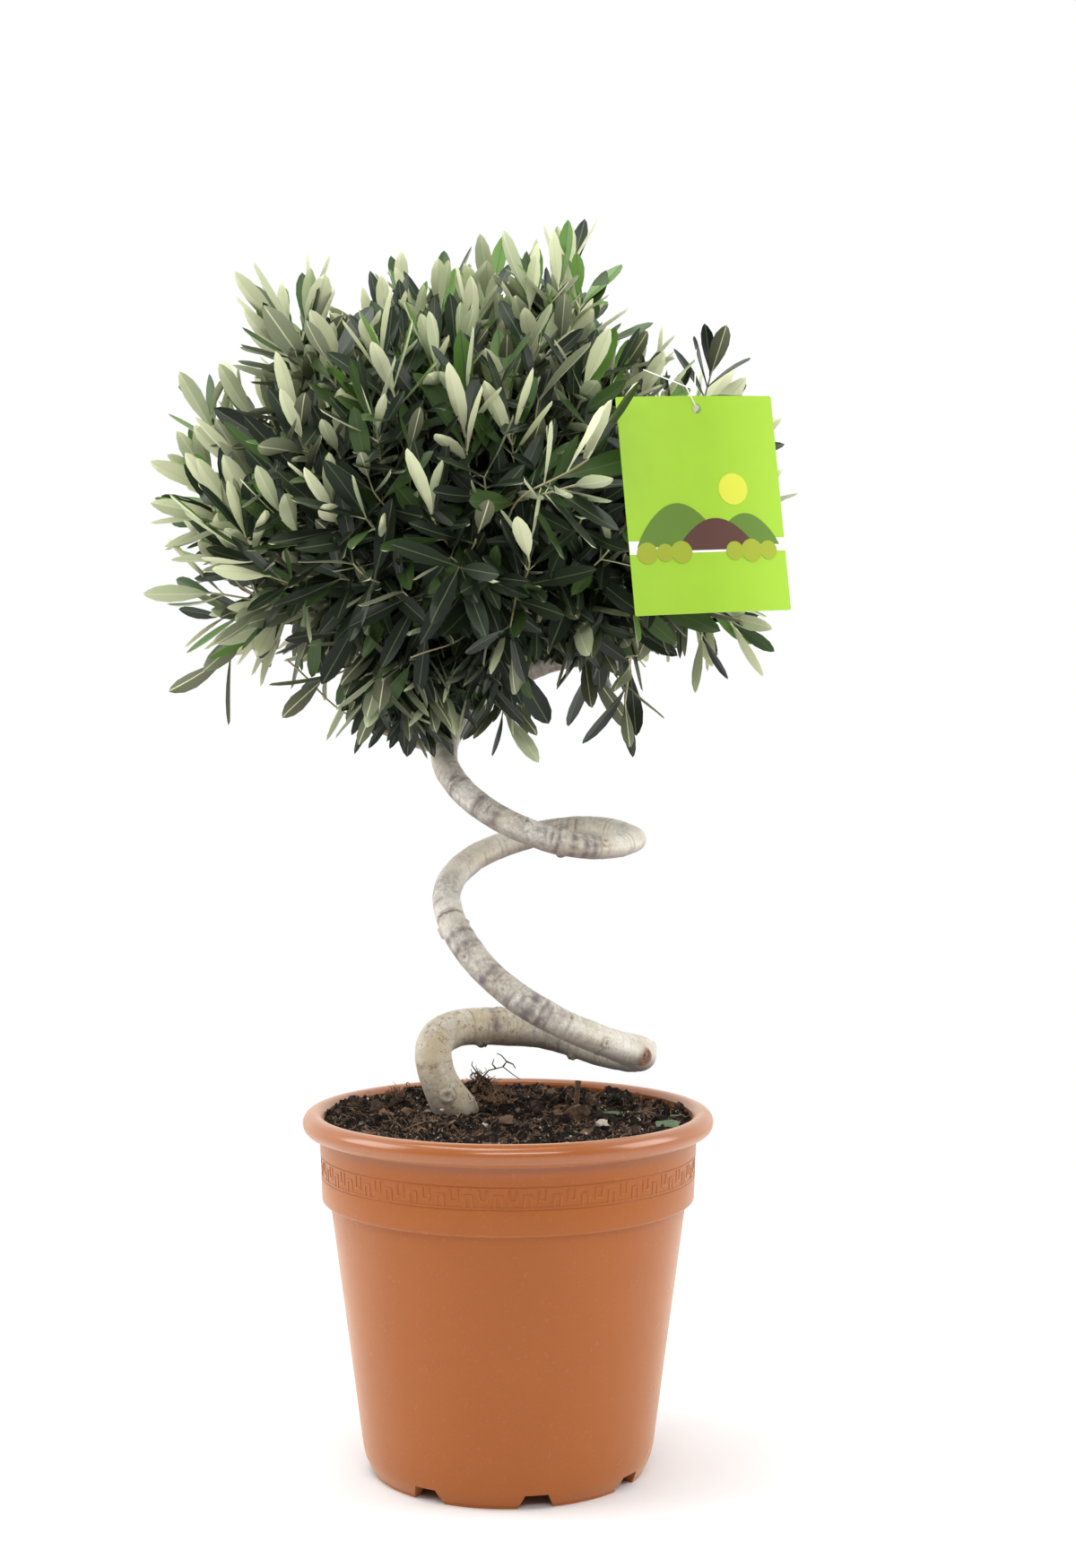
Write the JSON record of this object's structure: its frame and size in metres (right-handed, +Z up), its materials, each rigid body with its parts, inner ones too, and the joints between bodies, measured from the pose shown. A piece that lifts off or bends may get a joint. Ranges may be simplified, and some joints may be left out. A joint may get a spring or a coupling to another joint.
{
  "type": "potted olive tree",
  "caption": "Young olive tree with a trunk wound into a corkscrew below a round clipped crown, in a turned plastic pot of soil with a meander band, a bare card hanging in the crown.",
  "frame": {"origin": "centre of the pot's flat underside, on the surface that it stands on", "axes": "+Z up along the pot's axis, -Y towards the front, from which the card shows, +X to the right seen from the front"},
  "size_m": [0.4999, 0.4515, 0.9741],
  "materials": {
    "pot_plastic": "smooth terracotta-coloured plastic, satin",
    "compost": "dark moist potting compost with clods and roots",
    "bark": "pale grey-beige bark with darker bands and scars",
    "foliage": "narrow leathery leaves, dark above and grey-green below",
    "card_print": "printed lime-green card with a white stripe, smooth",
    "thread": "thin white thread"
  },
  "bodies": {
    "root": {"pot": "pot_plastic", "soil": "compost", "trunk_01": "bark", "trunk_02": "bark", "trunk_03": "bark", "trunk_04": "bark", "trunk_05": "bark", "trunk_06": "bark", "trunk_07": "bark", "trunk_08": "bark", "trunk_09": "bark", "trunk_10": "bark", "trunk_11": "bark", "trunk_12": "bark", "trunk_13": "bark", "leader": "bark", "bough_upper_1": "bark", "bough_upper_2": "bark", "bough_upper_3": "bark", "bough_upper_4": "bark", "bough_middle_1": "bark", "bough_middle_2": "bark", "bough_middle_3": "bark", "bough_middle_4": "bark", "bough_middle_5": "bark", "bough_middle_6": "bark", "bough_lower_1": "bark", "bough_lower_2": "bark", "bough_lower_3": "bark", "bough_lower_4": "bark", "bough_lower_5": "bark", "crown_top": "foliage", "crown_upper_1": "foliage", "crown_upper_2": "foliage", "crown_upper_3": "foliage", "crown_upper_4": "foliage", "crown_middle_1": "foliage", "crown_middle_2": "foliage", "crown_middle_3": "foliage", "crown_middle_4": "foliage", "crown_middle_5": "foliage", "crown_middle_6": "foliage", "crown_lower_1": "foliage", "crown_lower_2": "foliage", "crown_lower_3": "foliage", "crown_lower_4": "foliage", "crown_lower_5": "foliage", "label_card": "card_print", "label_thread": "thread"}
  },
  "joints": []
}
